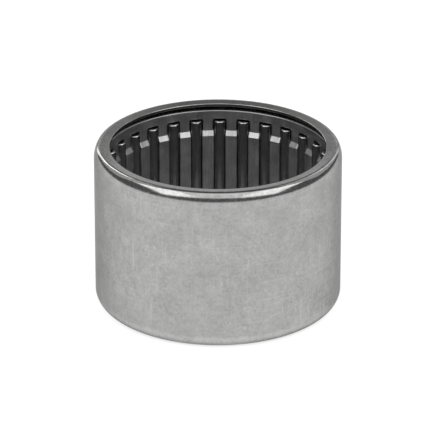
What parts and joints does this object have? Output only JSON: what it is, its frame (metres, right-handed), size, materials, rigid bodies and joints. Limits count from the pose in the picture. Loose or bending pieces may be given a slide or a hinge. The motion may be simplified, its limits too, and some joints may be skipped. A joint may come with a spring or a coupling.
{
  "type": "needle roller bearing",
  "caption": "Thin open-ended steel cup with inward lips, holding a stamped stepped cage of fine needle rollers that run on a shaft.",
  "frame": {"origin": "centre of the cup's lower end face, so the bearing stands on the XY plane", "axes": "+Z along the bearing's axis; +X through the centre of the first needle roller"},
  "size_m": [0.052, 0.052, 0.035],
  "materials": {
    "cup_steel": "satin",
    "cage_steel": "satin",
    "roller_steel": "polished"
  },
  "bodies": {
    "cup": {"outer_cup": "cup_steel"},
    "cage": {"roller_cage": "cage_steel"},
    "roller_01": {"needle_roller_01": "roller_steel"},
    "roller_02": {"needle_roller_02": "roller_steel"},
    "roller_03": {"needle_roller_03": "roller_steel"},
    "roller_04": {"needle_roller_04": "roller_steel"},
    "roller_05": {"needle_roller_05": "roller_steel"},
    "roller_06": {"needle_roller_06": "roller_steel"},
    "roller_07": {"needle_roller_07": "roller_steel"},
    "roller_08": {"needle_roller_08": "roller_steel"},
    "roller_09": {"needle_roller_09": "roller_steel"},
    "roller_10": {"needle_roller_10": "roller_steel"},
    "roller_11": {"needle_roller_11": "roller_steel"},
    "roller_12": {"needle_roller_12": "roller_steel"},
    "roller_13": {"needle_roller_13": "roller_steel"},
    "roller_14": {"needle_roller_14": "roller_steel"},
    "roller_15": {"needle_roller_15": "roller_steel"},
    "roller_16": {"needle_roller_16": "roller_steel"},
    "roller_17": {"needle_roller_17": "roller_steel"},
    "roller_18": {"needle_roller_18": "roller_steel"},
    "roller_19": {"needle_roller_19": "roller_steel"},
    "roller_20": {"needle_roller_20": "roller_steel"},
    "roller_21": {"needle_roller_21": "roller_steel"},
    "roller_22": {"needle_roller_22": "roller_steel"},
    "roller_23": {"needle_roller_23": "roller_steel"},
    "roller_24": {"needle_roller_24": "roller_steel"},
    "roller_25": {"needle_roller_25": "roller_steel"},
    "roller_26": {"needle_roller_26": "roller_steel"},
    "roller_27": {"needle_roller_27": "roller_steel"},
    "roller_28": {"needle_roller_28": "roller_steel"},
    "roller_29": {"needle_roller_29": "roller_steel"}
  },
  "joints": [
    {"name": "cage_spin", "type": "hinge", "parent": "cup", "child": "cage", "pos_m": [0, 0, 0.0175], "axis": [0, 0, 1], "continuous": true},
    {"name": "roller_01_spin", "type": "hinge", "parent": "cage", "child": "roller_01", "pos_m": [0.02376, 0, 0.017], "axis": [0, 0, 1], "continuous": true},
    {"name": "roller_02_spin", "type": "hinge", "parent": "cage", "child": "roller_02", "pos_m": [0.0232, 0.00511, 0.017], "axis": [0, 0, 1], "continuous": true},
    {"name": "roller_03_spin", "type": "hinge", "parent": "cage", "child": "roller_03", "pos_m": [0.02156, 0.00998, 0.017], "axis": [0, 0, 1], "continuous": true},
    {"name": "roller_04_spin", "type": "hinge", "parent": "cage", "child": "roller_04", "pos_m": [0.01892, 0.01438, 0.017], "axis": [0, 0, 1], "continuous": true},
    {"name": "roller_05_spin", "type": "hinge", "parent": "cage", "child": "roller_05", "pos_m": [0.01538, 0.01811, 0.017], "axis": [0, 0, 1], "continuous": true},
    {"name": "roller_06_spin", "type": "hinge", "parent": "cage", "child": "roller_06", "pos_m": [0.01113, 0.02099, 0.017], "axis": [0, 0, 1], "continuous": true},
    {"name": "roller_07_spin", "type": "hinge", "parent": "cage", "child": "roller_07", "pos_m": [0.00636, 0.02289, 0.017], "axis": [0, 0, 1], "continuous": true},
    {"name": "roller_08_spin", "type": "hinge", "parent": "cage", "child": "roller_08", "pos_m": [0.00129, 0.02373, 0.017], "axis": [0, 0, 1], "continuous": true},
    {"name": "roller_09_spin", "type": "hinge", "parent": "cage", "child": "roller_09", "pos_m": [-0.00384, 0.02345, 0.017], "axis": [0, 0, 1], "continuous": true},
    {"name": "roller_10_spin", "type": "hinge", "parent": "cage", "child": "roller_10", "pos_m": [-0.00879, 0.02207, 0.017], "axis": [0, 0, 1], "continuous": true},
    {"name": "roller_11_spin", "type": "hinge", "parent": "cage", "child": "roller_11", "pos_m": [-0.01333, 0.01967, 0.017], "axis": [0, 0, 1], "continuous": true},
    {"name": "roller_12_spin", "type": "hinge", "parent": "cage", "child": "roller_12", "pos_m": [-0.01725, 0.01634, 0.017], "axis": [0, 0, 1], "continuous": true},
    {"name": "roller_13_spin", "type": "hinge", "parent": "cage", "child": "roller_13", "pos_m": [-0.02036, 0.01225, 0.017], "axis": [0, 0, 1], "continuous": true},
    {"name": "roller_14_spin", "type": "hinge", "parent": "cage", "child": "roller_14", "pos_m": [-0.02252, 0.00759, 0.017], "axis": [0, 0, 1], "continuous": true},
    {"name": "roller_15_spin", "type": "hinge", "parent": "cage", "child": "roller_15", "pos_m": [-0.02362, 0.00257, 0.017], "axis": [0, 0, 1], "continuous": true},
    {"name": "roller_16_spin", "type": "hinge", "parent": "cage", "child": "roller_16", "pos_m": [-0.02362, -0.00257, 0.017], "axis": [0, 0, 1], "continuous": true},
    {"name": "roller_17_spin", "type": "hinge", "parent": "cage", "child": "roller_17", "pos_m": [-0.02252, -0.00759, 0.017], "axis": [0, 0, 1], "continuous": true},
    {"name": "roller_18_spin", "type": "hinge", "parent": "cage", "child": "roller_18", "pos_m": [-0.02036, -0.01225, 0.017], "axis": [0, 0, 1], "continuous": true},
    {"name": "roller_19_spin", "type": "hinge", "parent": "cage", "child": "roller_19", "pos_m": [-0.01725, -0.01634, 0.017], "axis": [0, 0, 1], "continuous": true},
    {"name": "roller_20_spin", "type": "hinge", "parent": "cage", "child": "roller_20", "pos_m": [-0.01333, -0.01967, 0.017], "axis": [0, 0, 1], "continuous": true},
    {"name": "roller_21_spin", "type": "hinge", "parent": "cage", "child": "roller_21", "pos_m": [-0.00879, -0.02207, 0.017], "axis": [0, 0, 1], "continuous": true},
    {"name": "roller_22_spin", "type": "hinge", "parent": "cage", "child": "roller_22", "pos_m": [-0.00384, -0.02345, 0.017], "axis": [0, 0, 1], "continuous": true},
    {"name": "roller_23_spin", "type": "hinge", "parent": "cage", "child": "roller_23", "pos_m": [0.00129, -0.02373, 0.017], "axis": [0, 0, 1], "continuous": true},
    {"name": "roller_24_spin", "type": "hinge", "parent": "cage", "child": "roller_24", "pos_m": [0.00636, -0.02289, 0.017], "axis": [0, 0, 1], "continuous": true},
    {"name": "roller_25_spin", "type": "hinge", "parent": "cage", "child": "roller_25", "pos_m": [0.01113, -0.02099, 0.017], "axis": [0, 0, 1], "continuous": true},
    {"name": "roller_26_spin", "type": "hinge", "parent": "cage", "child": "roller_26", "pos_m": [0.01538, -0.01811, 0.017], "axis": [0, 0, 1], "continuous": true},
    {"name": "roller_27_spin", "type": "hinge", "parent": "cage", "child": "roller_27", "pos_m": [0.01892, -0.01438, 0.017], "axis": [0, 0, 1], "continuous": true},
    {"name": "roller_28_spin", "type": "hinge", "parent": "cage", "child": "roller_28", "pos_m": [0.02156, -0.00998, 0.017], "axis": [0, 0, 1], "continuous": true},
    {"name": "roller_29_spin", "type": "hinge", "parent": "cage", "child": "roller_29", "pos_m": [0.0232, -0.00511, 0.017], "axis": [0, 0, 1], "continuous": true}
  ],
  "couplings": [
    {"joint": "roller_01_spin", "follows": "cage_spin", "ratio": -20.024},
    {"joint": "roller_02_spin", "follows": "cage_spin", "ratio": -20.024},
    {"joint": "roller_03_spin", "follows": "cage_spin", "ratio": -20.024},
    {"joint": "roller_04_spin", "follows": "cage_spin", "ratio": -20.024},
    {"joint": "roller_05_spin", "follows": "cage_spin", "ratio": -20.024},
    {"joint": "roller_06_spin", "follows": "cage_spin", "ratio": -20.024},
    {"joint": "roller_07_spin", "follows": "cage_spin", "ratio": -20.024},
    {"joint": "roller_08_spin", "follows": "cage_spin", "ratio": -20.024},
    {"joint": "roller_09_spin", "follows": "cage_spin", "ratio": -20.024},
    {"joint": "roller_10_spin", "follows": "cage_spin", "ratio": -20.024},
    {"joint": "roller_11_spin", "follows": "cage_spin", "ratio": -20.024},
    {"joint": "roller_12_spin", "follows": "cage_spin", "ratio": -20.024},
    {"joint": "roller_13_spin", "follows": "cage_spin", "ratio": -20.024},
    {"joint": "roller_14_spin", "follows": "cage_spin", "ratio": -20.024},
    {"joint": "roller_15_spin", "follows": "cage_spin", "ratio": -20.024},
    {"joint": "roller_16_spin", "follows": "cage_spin", "ratio": -20.024},
    {"joint": "roller_17_spin", "follows": "cage_spin", "ratio": -20.024},
    {"joint": "roller_18_spin", "follows": "cage_spin", "ratio": -20.024},
    {"joint": "roller_19_spin", "follows": "cage_spin", "ratio": -20.024},
    {"joint": "roller_20_spin", "follows": "cage_spin", "ratio": -20.024},
    {"joint": "roller_21_spin", "follows": "cage_spin", "ratio": -20.024},
    {"joint": "roller_22_spin", "follows": "cage_spin", "ratio": -20.024},
    {"joint": "roller_23_spin", "follows": "cage_spin", "ratio": -20.024},
    {"joint": "roller_24_spin", "follows": "cage_spin", "ratio": -20.024},
    {"joint": "roller_25_spin", "follows": "cage_spin", "ratio": -20.024},
    {"joint": "roller_26_spin", "follows": "cage_spin", "ratio": -20.024},
    {"joint": "roller_27_spin", "follows": "cage_spin", "ratio": -20.024},
    {"joint": "roller_28_spin", "follows": "cage_spin", "ratio": -20.024},
    {"joint": "roller_29_spin", "follows": "cage_spin", "ratio": -20.024}
  ]
}
